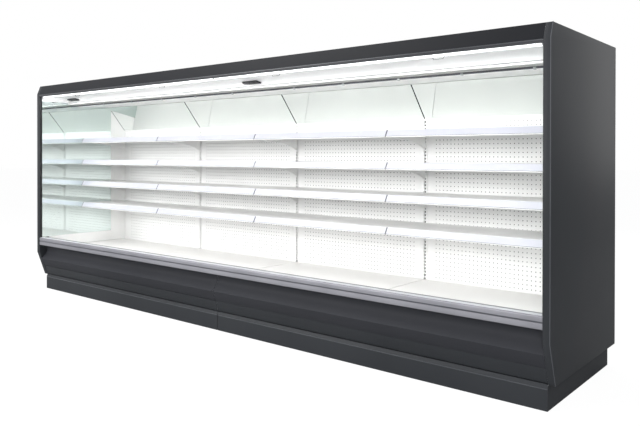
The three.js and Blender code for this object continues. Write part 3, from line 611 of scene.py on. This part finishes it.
for bay in range(BAYS):
    # A dark sheet behind each panel's holes is painted shade.
    shade_sheet = bmesh.new()
    block(shade_sheet, (BAY_LINES[bay] + 0.024, FRONT + 1.0122, PANEL_FOOT + 0.004),
          (BAY_LINES[bay + 1] - 0.024, FRONT + 1.0147, PANEL_HEAD + 0.030))
    finished(f"duct_painted_shade_{bay + 1}", shade_sheet, duct_painted_shade)
    panel = bmesh.new()
    panel.from_mesh(perforated)
    bmesh.ops.translate(panel, verts=panel.verts,
                        vec=(BAY_LINES[bay], FRONT + PANEL_FACE, PANEL_FOOT + spare / 2))
    finished(f"back_sheet_{bay + 1}", panel, white_paint, stands_for=[f"back_panel_{bay + 1}"])

# ---- Sloped mirrors: one a bay, from the back panels up to the ceiling ----
# Float glass, its edges ground, leaning forward so that shoppers see the goods on the top shelf from above.
# Black gaskets fill the joints between the panes and their two ends.
SLOPE_HEAD = (0.765, 1.8045)
SLOPE_FOOT = (0.952, 1.572)
GLASS = 0.005
GLASS_JOINT = 0.0040
END_GASKET_HEAD = (0.7875, 1.7765)

slope = Vector((SLOPE_FOOT[0] - SLOPE_HEAD[0], SLOPE_HEAD[1] - SLOPE_FOOT[1]))
behind = Vector((slope.y, slope.x)).normalized() * GLASS
for bay in range(BAYS):
    glass = bmesh.new()
    drawn(glass, [SLOPE_HEAD, SLOPE_FOOT,
                  (SLOPE_FOOT[0] + behind.x - 0.002, SLOPE_FOOT[1] + behind.y - 0.0015),
                  (SLOPE_HEAD[0] + behind.x, SLOPE_HEAD[1] + behind.y)],
          BAY_LINES[bay] + GLASS_JOINT, BAY_LINES[bay + 1] - GLASS_JOINT)
    finished(f"sloped_glass_{bay + 1}", glass, silver, stands_for=[f"slope_mirror_{bay + 1}"])

for n, bay_line in enumerate(BAY_LINES):
    head, x0, x1 = SLOPE_HEAD, bay_line - GLASS_JOINT + 0.0002, bay_line + GLASS_JOINT - 0.0002
    if n in (0, BAYS):
        inward = 1 if n == 0 else -1
        head = END_GASKET_HEAD
        x0, x1 = sorted((bay_line + inward * 0.0010, bay_line + inward * 0.0038))
    gasket = bmesh.new()
    drawn(gasket, [(head[0] - 0.0008, head[1] - 0.001), (SLOPE_FOOT[0] - 0.0008, SLOPE_FOOT[1] - 0.001),
                   (SLOPE_FOOT[0] + 0.002, SLOPE_FOOT[1] + 0.001), (head[0] + 0.002, head[1] + 0.001)],
          x0, x1)
    finished(f"glass_gasket_{n}", gasket, black_moulding)

# ---- Canopy: ceiling sheet, air outlet and curved liner ----
# The ceiling sheet is held by clips along its front lip. The outlet is a honeycomb of thin white plastic in
# one cassette a module, and the liner is one bent white sheet behind the lamp.
END_GAP = 0.0004
FULL_SPAN = (END_GAP - INNER_END, INNER_END - END_GAP)
CEILING_FRONT = 0.412
CELL_PITCH = 0.012
CELL_WALL = 0.0006
CELL_ROWS = 8
OUTLET = (0.303, 0.411)
OUTLET_HEIGHTS = (1.811, 1.834)
CEILING_CLIPS = 5
CLIP_PITCH = 0.4583

honeycomb_plastic = finish("honeycomb_plastic", (240, 240, 236), (248, 248, 245), 0.5, cloud=5, relief=0.02)

ceiling = bmesh.new()
folded(ceiling, [(0.9565, 1.826), (0.9565, 1.8145), (CEILING_FRONT, 1.796), (CEILING_FRONT, 1.8338)],
       *FULL_SPAN, SHEET, bend=0.0025)
finished("ceiling_sheet", ceiling, white_paint, stands_for=["ceiling_panel"])

# The lamp clips' own dark grey, also laid as painted shade on the ceiling lip, outlet, bumper groove and rails.
shadow_trim = finish("grey_trim_and_painted_shade", (66, 68, 74), (76, 78, 84), 0.4, cloud=4, grain_size=1200, relief=0.05)
# A dark grey strip along the ceiling's front lip is painted shade.
lip_painted_shade = bmesh.new()
block(lip_painted_shade, (0.0008 - INNER_END, FRONT + CEILING_FRONT - 0.0008, 1.7975),
      (INNER_END - 0.0008, FRONT + CEILING_FRONT - 0.0001, 1.8104))
finished("ceiling_painted_shade_lip", lip_painted_shade, shadow_trim)

ceiling_clips = bmesh.new()
for module_left in (-INNER_END, 0):
    for n in range(1, CEILING_CLIPS + 1):
        x = module_left + n * CLIP_PITCH
        block(ceiling_clips, (x - 0.009, FRONT + CEILING_FRONT - 0.0040, 1.7935),
              (x + 0.009, FRONT + CEILING_FRONT - 0.0010, 1.8085))
        block(ceiling_clips, (x - 0.006, FRONT + CEILING_FRONT - 0.0040, 1.7925),
              (x + 0.006, FRONT + CEILING_FRONT + 0.012, 1.7955))
softened(ceiling_clips, 0.0008)
finished("ceiling_clips", ceiling_clips, zinc)

for side_name, side in SIDES:
    x0, x1 = sorted((side * 0.001, side * (INNER_END - 0.001)))
    comb = bmesh.new()
    radius = CELL_PITCH / math.sqrt(3)
    column_step = 1.5 * radius
    columns = int((x1 - x0 - 0.006) / column_step) - 1
    first_y = (OUTLET[0] + OUTLET[1] - CELL_ROWS * CELL_PITCH) / 2
    bmesh.ops.create_circle(comb, cap_ends=True, segments=6, radius=radius,
                            matrix=Matrix.Rotation(math.pi / 2, 4, "Z"))
    repeated(comb, [(0, n * CELL_PITCH, 0) for n in range(1, CELL_ROWS)])
    repeated(comb, [(n * column_step, CELL_PITCH / 2 * (n % 2), 0) for n in range(1, columns)])
    bmesh.ops.remove_doubles(comb, verts=comb.verts, dist=1e-5)
    cells = comb.faces[:]
    bmesh.ops.inset_individual(comb, faces=cells, thickness=CELL_WALL / 2, use_even_offset=True)
    bmesh.ops.delete(comb, geom=cells, context="FACES_ONLY")
    walls = bmesh.ops.extrude_face_region(comb, geom=comb.faces[:])["geom"]
    bmesh.ops.translate(comb, verts=corners_of(walls),
                        vec=(0, 0, OUTLET_HEIGHTS[1] - OUTLET_HEIGHTS[0] - 0.001))
    bmesh.ops.recalc_face_normals(comb, faces=comb.faces)
    spread = (columns - 1) * column_step
    bmesh.ops.translate(comb, verts=comb.verts,
                        vec=((x0 + x1 - spread) / 2, FRONT + first_y + CELL_PITCH / 4,
                             OUTLET_HEIGHTS[0] + 0.0005))
    finished(f"outlet_comb_{side_name}", comb, honeycomb_plastic)
    # A dark strip just under the liner's lip, on the outlet frame's front, is a painted shadow line.
    shadow_line = bmesh.new()
    block(shadow_line, (x0, FRONT + OUTLET[0] - 0.0008, OUTLET_HEIGHTS[1] - 0.0105),
          (x1, FRONT + OUTLET[0] - 0.0001, OUTLET_HEIGHTS[1] - 0.0065))
    finished(f"outlet_painted_shadow_{side_name}", shadow_line, shadow_trim)
    tray = bmesh.new()
    for y0, y1 in ((OUTLET[0], OUTLET[0] + 0.0035), (OUTLET[1] - 0.0035, OUTLET[1])):
        block(tray, (x0, FRONT + y0, OUTLET_HEIGHTS[0]), (x1, FRONT + y1, OUTLET_HEIGHTS[1]))
    for a, b in ((x0, x0 + 0.003), (x1 - 0.003, x1)):
        block(tray, (a, FRONT + OUTLET[0] + 0.0036, OUTLET_HEIGHTS[0]),
              (b, FRONT + OUTLET[1] - 0.0036, OUTLET_HEIGHTS[1]))
    for y0, y1 in ((OUTLET[0] - 0.002, OUTLET[0] + 0.0035), (OUTLET[1] - 0.0035, OUTLET[1] + 0.005)):
        block(tray, (x0, FRONT + y0, OUTLET_HEIGHTS[1] + 0.0003),
              (x1, FRONT + y1, OUTLET_HEIGHTS[1] + 0.0015))
    softened(tray, 0.0004, segments=1)
    finished(f"outlet_frame_{side_name}", tray, honeycomb_plastic,
             stands_for=[f"air_honeycomb_{side_name}"])

liner = bmesh.new()
folded(liner, [(0.3020, 1.834), (0.3015, 1.828), (0.2760, 1.8545), (0.215, 1.8722), (0.120, 1.8745),
               (0.066, 1.866), (0.066, 1.9045)], *FULL_SPAN, SHEET,
       bends={1: 0.0015, 2: 0.018, 3: 0.038, 4: 0.038, 5: 0.0015}, segments=8)
finished("canopy_liner_sheet", liner, white_paint, stands_for=["canopy_liner"])

# ---- Header: the fascia over the opening and its lower lip ----
# A charcoal sheet leans back from the lip, folds over the roof and stands in the foam's rebate. The lip is a
# lighter extruded edge that hides the lamp's holder.
header_paint = finish("header_coat", (29, 30, 33), (32, 33, 36), 0.4, specular=0.07, cloud=1.2,
                      grain_size=1100, relief=0.05)

header = bmesh.new()
folded(header, [(0.0005, 1.8860), (0.0300, 1.975), (0.090, 1.975), (0.090, 1.9556)], *FULL_SPAN, SHEET,
       bend=0.003)
finished("header_sheet", header, header_paint, stands_for=["header_fascia"])

lip = bmesh.new()
drawn(lip, [(0.0005, 1.8850), (0.0005, 1.871), (0.020, 1.871), (0.020, 1.8735), (0.0038, 1.8735),
            (0.0042, 1.8850)], *FULL_SPAN)
softened(lip, 0.0012)
lip_paint = finish("lip_coat", (52, 53, 56), (56, 57, 60), 0.4, specular=0.15, cloud=2)
finished("header_lip", lip, lip_paint)

# A thin strip along the lip's top edge, lighter than the header, is a painted highlight.
painted_highlight_metal = finish("painted_highlight_metal", (62, 64, 67), (68, 70, 73), 0.35, metallic=0.2, cloud=3)
highlight_strip = bmesh.new()
drawn(highlight_strip, [(-0.0006, 1.8835), (0.0003, 1.8835), (0.0012, 1.8885), (-0.0002, 1.8885)],
      0.0006 - INNER_END, INNER_END - 0.0006)
softened(highlight_strip, 0.0006)
finished("header_painted_highlight", highlight_strip, painted_highlight_metal)

# ---- Lamp: two tubes end to end, in wire clips under the header ----
# Each module has one LED tube: a milky diffuser towards the liner, a dim shield towards the shopper, a white
# back and grey end caps. Clips of bent wire hold the tubes to a white rail.
LAMP_CENTRE = (0.041, 1.872)
LAMP_RADIUS = 0.0125
LAMP_JOINT = 0.008
TUBE_END = 2.480
LAMP_END = 2.494
LAMP_FACETS = 14
CLIP_WIRE = 0.0013
CLIP_HEIGHTS = (1.8800, 1.8440)

lamp_rail = bmesh.new()
drawn(lamp_rail, [(0.036, 1.882), (0.046, 1.882), (0.046, 1.9045), (0.036, 1.9045)], -LAMP_END, LAMP_END)
softened(lamp_rail, 0.001)
finished("lamp_rail", lamp_rail, white_paint, stands_for=["led_lamp"])


def round_part(bm, x0, x1, radius, first, last):
    """The part of a rod round the lamp's axis between two angles in degrees, counted from +Y upwards."""
    turn = [math.radians(first + (last - first) * n / LAMP_FACETS) for n in range(LAMP_FACETS + 1)]
    drawn(bm, [(LAMP_CENTRE[0] + radius * math.cos(a), LAMP_CENTRE[1] + radius * math.sin(a)) for a in turn],
          x0, x1)


def lit_plastic(name, strength):
    """Milky plastic with light behind it."""
    material = bpy.data.materials.new(name)
    material.use_nodes = True
    tree = material.node_tree
    surface = tree.nodes["Principled BSDF"]
    surface.inputs["Roughness"].default_value = 0.3
    surface.inputs["Emission Strength"].default_value = strength
    milk = shade(tree, grain(tree, 30, 2.0).outputs["Fac"], (0.94, 0.97, 1, 1), (1, 1, 1, 1))
    tree.links.new(milk.outputs["Color"], surface.inputs["Base Color"])
    tree.links.new(milk.outputs["Color"], surface.inputs["Emission Color"])
    return material


glare_shield = lit_plastic("glare_shield", 1.5)
diffuser = lit_plastic("lit_diffuser", 33)
grey_moulding = finish("grey_moulding", (150, 152, 155), (164, 166, 169), 0.4, cloud=14, grain_size=1400,
                       relief=0.08)

caps, backs = bmesh.new(), bmesh.new()
for side_name, side in SIDES:
    x0, x1 = sorted((side * LAMP_JOINT, side * TUBE_END))
    shield, tube = bmesh.new(), bmesh.new()
    round_part(shield, x0, x1, LAMP_RADIUS, -175, -78)
    finished(f"lamp_shield_{side_name}", shield, glare_shield)
    round_part(tube, x0, x1, LAMP_RADIUS, -77, -18)
    finished(f"lamp_tube_{side_name}", tube, diffuser)
    round_part(backs, x0, x1, LAMP_RADIUS, -17, 184)
    for a, b in ((TUBE_END + 0.0004, LAMP_END), (0.0004, LAMP_JOINT - 0.0004)):
        round_part(caps, *sorted((side * a, side * b)), LAMP_RADIUS + 0.0005, 0, 335)
finished("lamp_backs", backs, white_paint)
softened(caps, 0.0008, angle=60)
finished("lamp_caps", caps, grey_moulding)

clips = bmesh.new()
for n in range(BAYS):
    x = BAY_LINES[n] + BAY / 2 + 0.015
    corners = [(x - 0.052, CLIP_HEIGHTS[0]), (x - 0.030, CLIP_HEIGHTS[1]), (x + 0.030, CLIP_HEIGHTS[1]),
               (x + 0.052, CLIP_HEIGHTS[0])]
    for (xa, za), (xb, zb) in zip(corners, corners[1:]):
        run = Vector((xb - xa, 0, zb - za))
        bmesh.ops.create_cone(clips, cap_ends=True, segments=10, radius1=CLIP_WIRE, radius2=CLIP_WIRE,
                              depth=run.length + 0.0022,
                              matrix=Matrix.Translation(((xa + xb) / 2, FRONT + 0.0265, (za + zb) / 2)) @
                              run.to_track_quat("Z", "Y").to_matrix().to_4x4())
finished("lamp_clips", clips, shadow_trim)

# ---- Thermometers: one under the liner at the left of each module ----
# A black moulded body with a slanted right end, a dark glass window over its scale and a rocker beside it.
# It is stuck under the liner, tilted to be read from in front.
METER_TILT = -23
METER_PLACE = (0.168, FRONT + 0.257, 1.846)

dark_glass = finish("dark_glass", (12, 13, 15), (18, 19, 22), 0.08, specular=0.6, cloud=3, relief=0.0,
                    coat=0.4)


def set_on_liner(bm, module_left):
    """Tilts a fitting that is made flat about the origin and puts it under the liner."""
    bmesh.ops.rotate(bm, verts=bm.verts, matrix=Matrix.Rotation(math.radians(METER_TILT), 3, "X"))
    bmesh.ops.translate(bm, verts=bm.verts, vec=(module_left + METER_PLACE[0], *METER_PLACE[1:]))


for side_name, module_left in (("left", -INNER_END), ("right", 0)):
    body = bmesh.new()
    ring = [body.verts.new((x, y, -0.003)) for x, y in ((-0.086, -0.017), (0.063, -0.017), (0.086, 0.017),
                                                        (-0.086, 0.017))]
    grown = bmesh.ops.extrude_face_region(body, geom=[body.faces.new(ring)])["geom"]
    bmesh.ops.translate(body, verts=corners_of(grown), vec=(0, 0, 0.012))
    bmesh.ops.recalc_face_normals(body, faces=body.faces)
    softened(body, 0.002, segments=3)
    set_on_liner(body, module_left)
    finished(f"thermometer_body_{side_name}", body, black_moulding,
             stands_for=[f"temperature_display_{side_name}"])
    pane = bmesh.new()
    block(pane, (-0.076, -0.010, -0.0042), (-0.010, 0.010, -0.0032))
    softened(pane, 0.0004)
    set_on_liner(pane, module_left)
    finished(f"thermometer_pane_{side_name}", pane, dark_glass)
    rocker = bmesh.new()
    block(rocker, (0.016, -0.007, -0.0058), (0.040, 0.007, -0.0032))
    softened(rocker, 0.001)
    set_on_liner(rocker, module_left)
    finished(f"thermometer_rocker_{side_name}", rocker, black_moulding)

# ---- Deck trays: the floor of the display, lifted out for cleaning ----
# White steel sheets, a shade greyer than the walls, with intake slots along the front. They lie on the tub's
# step and the uprights' seats, held by their own weight.
deck_paint = finish("deck_powder_coat", (237, 236, 234), (241, 240, 238), 0.4, cloud=1.5, relief=0.04)

for bay in range(BAYS):
    repaint(f"deck_tray_{bay + 1}", deck_paint)

# ---- Bumper: aluminium nose along the front edge ----
# An extruded rail with a groove along its face, a white wear strip let in on top and a ledge behind, painted
# darker as shade.
# It is screwed along the tub's front wall, and trolleys knock against it.
BUMPER_TOP = 0.501
BUMPER_FOOT = 0.4290
GROOVE = (0.462, 0.471)

aluminium = finish("anodised_aluminium", (126, 126, 132), (136, 136, 142), 0.5, metallic=0.5, cloud=3,
                   grain_size=700, relief=0.08, stretch=(0.02, 1, 1))
shaded_ledge_metal = finish("ledge_aluminium_painted_shade", (110, 110, 116), (122, 122, 128), 0.45, metallic=0.6, cloud=3,
                     stretch=(0.02, 1, 1))
strip_plastic = finish("wear_strip", (208, 209, 214), (216, 217, 222), 0.4, cloud=2)

rail = bmesh.new()
drawn(rail, [(0.0534, BUMPER_FOOT), (0.0010, BUMPER_FOOT), (0.0010, GROOVE[0]), (0.0065, GROOVE[0] + 0.0008),
             (0.0065, GROOVE[1] - 0.0008), (0.0010, GROOVE[1]), (0.0010, BUMPER_TOP - 0.001),
             (0.0534, BUMPER_TOP - 0.001)], *FULL_SPAN,
      rounds=[(0.008, (6,)), (0.006, (1,)), (0.0008, (2, 5))], segments=7)
finished("bumper_extrusion", rail, aluminium, stands_for=["bumper_rail"])

# The insert's dark grey is partly its own colour and partly painted shade in the groove.
insert = bmesh.new()
block(insert, (0.0010 - INNER_END, FRONT + 0.0045, GROOVE[0] + 0.0012),
      (INNER_END - 0.0010, FRONT + 0.0064, GROOVE[1] - 0.0012))
softened(insert, 0.0006)
finished("bumper_insert", insert, shadow_trim)

wear = bmesh.new()
drawn(wear, [(0.0085, 0.5001), (0.0500, 0.5001), (0.0500, 0.5012), (0.0080, 0.5012)],
      0.0010 - INNER_END, INNER_END - 0.0010)
finished("bumper_wear_strip", wear, strip_plastic)

# The ledge's aluminium is a darker copy of the rail's, as painted shade.
ledge = bmesh.new()
folded(ledge, [(0.0538, 0.4965), (0.0925, 0.4965), (0.0925, 0.468)], *FULL_SPAN, 0.0015)
finished("bumper_ledge", ledge, shaded_ledge_metal)

# ---- Front fascias: the cove under the bumper and the panel below it ----
# The cove is one rolled charcoal sheet a module, with a sharp fold along its crest. The panel below hangs in
# front of the tub's belly and meets the cove in a fine seam, a little wider on the left module.
COVE_FOOT = (0.0505, 0.2262)
CREST = (0.0226, 0.2995)
BELLY = (0.0760, 0.3740)
COVE_HEAD = (0.0520, 0.4272)
CURVE_POINTS = 12


def curved(start, first, second, end):
    """Points of the curve from start to end that leaves towards first and arrives from second."""
    handles = [Vector((*p, 0)) for p in (start, first, second, end)]
    points = geometry.interpolate_bezier(*handles, CURVE_POINTS)
    return [(p.x, p.y) for p in points]


fascia_paint = finish("fascia_coat", (44, 45, 49), (48, 49, 53), 0.6, specular=0.12, cloud=1.2,
                      grain_size=1100, relief=0.05)

cove_path = [(0.0970, COVE_FOOT[1]), COVE_FOOT, *curved(CREST, (0.0420, 0.3190), (0.0760, 0.3480), BELLY),
             *curved(BELLY, (0.0760, 0.3920), (0.0640, 0.4130), COVE_HEAD)[1:]]
cove_bends = {n: 0 for n in range(3, len(cove_path))} | {1: 0.0015, 2: 0.0010}
for side_name, side in SIDES:
    x0, x1 = sorted((side * 0.0010, side * (INNER_END - 0.0008)))
    cove = bmesh.new()
    folded(cove, cove_path, x0, x1, SHEET, bends=cove_bends)
    finished(f"cove_sheet_{side_name}", cove, fascia_paint,
             stands_for=[f"front_fascia_{side_name}"])
    seam = 0.0030 if side < 0 else 0.0008
    lower = bmesh.new()
    folded(lower, [(0.0970, 0.1442), (0.0770, 0.1442), (COVE_FOOT[0] + 0.001 + seam / 3, COVE_FOOT[1] - seam),
                   (0.0970, COVE_FOOT[1] - seam)], x0, x1, SHEET, bend=0.0015)
    finished(f"lower_sheet_{side_name}", lower, kick_paint,
             stands_for=[f"lower_fascia_{side_name}"])

# ---- Shelves: sixteen trays on hooked brackets, each with a price rail ----
# A folded white tray lies between two pressed brackets that hook into the uprights. The rail along its front
# edge has a rounded lower lip, and the price strip above it leans back to be read from above.
LEVELS = 4
SHELF_SPACING = 0.218
SHELF_FOOT = 1.426
SHELF_FRONT = 0.446
SHELF_REAR = 0.940
TRAY_TOP = 0.046
BRACKET = 0.0025
STOP = 0.003
HOOK = 0.025
TONGUE = HOOK - SHELF_SPACING / 3

price_plastic = finish("price_strip", (190, 191, 201), (195, 196, 205), 0.3, specular=0.6, cloud=2,
                       relief=0.01)
stop_moulding = finish("stop_moulding", (84, 86, 90), (94, 96, 100), 0.4, cloud=14, grain_size=1400,
                       relief=0.08)
arm_front = curved((0.780, -0.0215), (0.850, -0.0310), (0.905, -0.0500), (0.942, -0.072))
bracket_outline = [(0.475, TRAY_TOP - 0.002), (0.4665, 0.014), (0.600, -0.0035), *arm_front,
                   (0.9565, -0.072), (0.9565, TONGUE - 0.004), (0.9635, TONGUE - 0.003),
                   (0.9635, TONGUE + 0.003), (0.9565, TONGUE + 0.004), (0.9565, HOOK - 0.0045),
                   (0.9612, HOOK - 0.0045), (0.9612, HOOK - 0.0088), (0.9643, HOOK - 0.0080),
                   (0.9643, HOOK + 0.0035), (0.9565, HOOK + 0.0045), (0.949, TRAY_TOP - 0.002)]

front = SHELF_FRONT
for level in range(LEVELS):
    foot = SHELF_FOOT - level * SHELF_SPACING
    for bay in range(BAYS):
        number = f"{level + 1}_{bay + 1}"
        x0 = BAY_LINES[bay] + (0.004 if bay == 0 else 0.002)
        x1 = BAY_LINES[bay + 1] - (0.004 if bay == BAYS - 1 else 0.002)

        tray = bmesh.new()
        folded(tray, [(SHELF_FRONT + 0.027, foot + 0.020), (SHELF_FRONT + 0.027, foot + TRAY_TOP),
                      (SHELF_REAR, foot + TRAY_TOP), (SHELF_REAR, foot + 0.030)], x0, x1, 0.001, bend=0.0015)
        for a in (x0, x1 - 0.001):
            block(tray, (a, FRONT + SHELF_FRONT + 0.029, foot + 0.030),
                  (a + 0.001, FRONT + SHELF_REAR - 0.0015, foot + TRAY_TOP - 0.0011))
        finished(f"shelf_tray_{number}", tray, white_paint, body=f"shelf_{number}",
                 stands_for=[f"shelf_{number}"])

        brackets = bmesh.new()
        for a in (x0 + 0.0022, x1 - 0.0022 - BRACKET):
            drawn(brackets, [(y, foot + z) for y, z in bracket_outline], a, a + BRACKET)
        softened(brackets, 0.0004, angle=50, segments=1)
        finished(f"shelf_brackets_{number}", brackets, white_paint, body=f"shelf_{number}")

        rail = bmesh.new()
        drawn(rail, [(front - 0.0015, foot + 0.0058), (front - 0.0015, foot + 0.0010), (front, foot),
                     (front + 0.017, foot), (front + 0.017, foot + 0.002), (front + 0.0045, foot + 0.003),
                     (front + 0.0045, foot + 0.0085), (front + 0.0255, foot + 0.0475),
                     (front + 0.0255, foot + 0.0495), (front + 0.0240, foot + 0.0495),
                     (front + 0.0022, foot + 0.0088), (front + 0.0022, foot + 0.0058)], x0, x1)
        softened(rail, 0.0007)
        finished(f"shelf_rail_{number}", rail, white_paint, body=f"shelf_{number}")

        # A dark grey strip in the groove under the price strip is painted shade.
        groove_shade = bmesh.new()
        block(groove_shade, (x0 + 0.0006, FRONT + front - 0.0009, foot + 0.0060),
              (x1 - 0.0006, FRONT + front + 0.0020, foot + 0.0082))
        finished(f"rail_groove_painted_shade_{number}", groove_shade, shadow_trim, body=f"shelf_{number}")

        strip = bmesh.new()
        drawn(strip, [(front + 0.0003, foot + 0.0086), (front + 0.0223, foot + 0.0492),
                      (front + 0.0232, foot + 0.0488), (front + 0.0012, foot + 0.0082)],
              x0 + STOP, x1 - STOP)
        finished(f"price_strip_{number}", strip, price_plastic, body=f"shelf_{number}")

        stops = bmesh.new()
        for a in (x0 - 0.0005, x1 + 0.0005 - STOP):
            drawn(stops, [(front - 0.0006, foot + 0.0082), (front + 0.0222, foot + 0.0502),
                          (front + 0.0262, foot + 0.0500), (front + 0.0040, foot + 0.0082)], a, a + STOP)
            block(stops, (a, FRONT + front - 0.0018, foot + 0.002),
                  (a + STOP, FRONT + front + 0.006, foot + 0.007))
        finished(f"rail_stops_{number}", stops, stop_moulding, body=f"shelf_{number}")
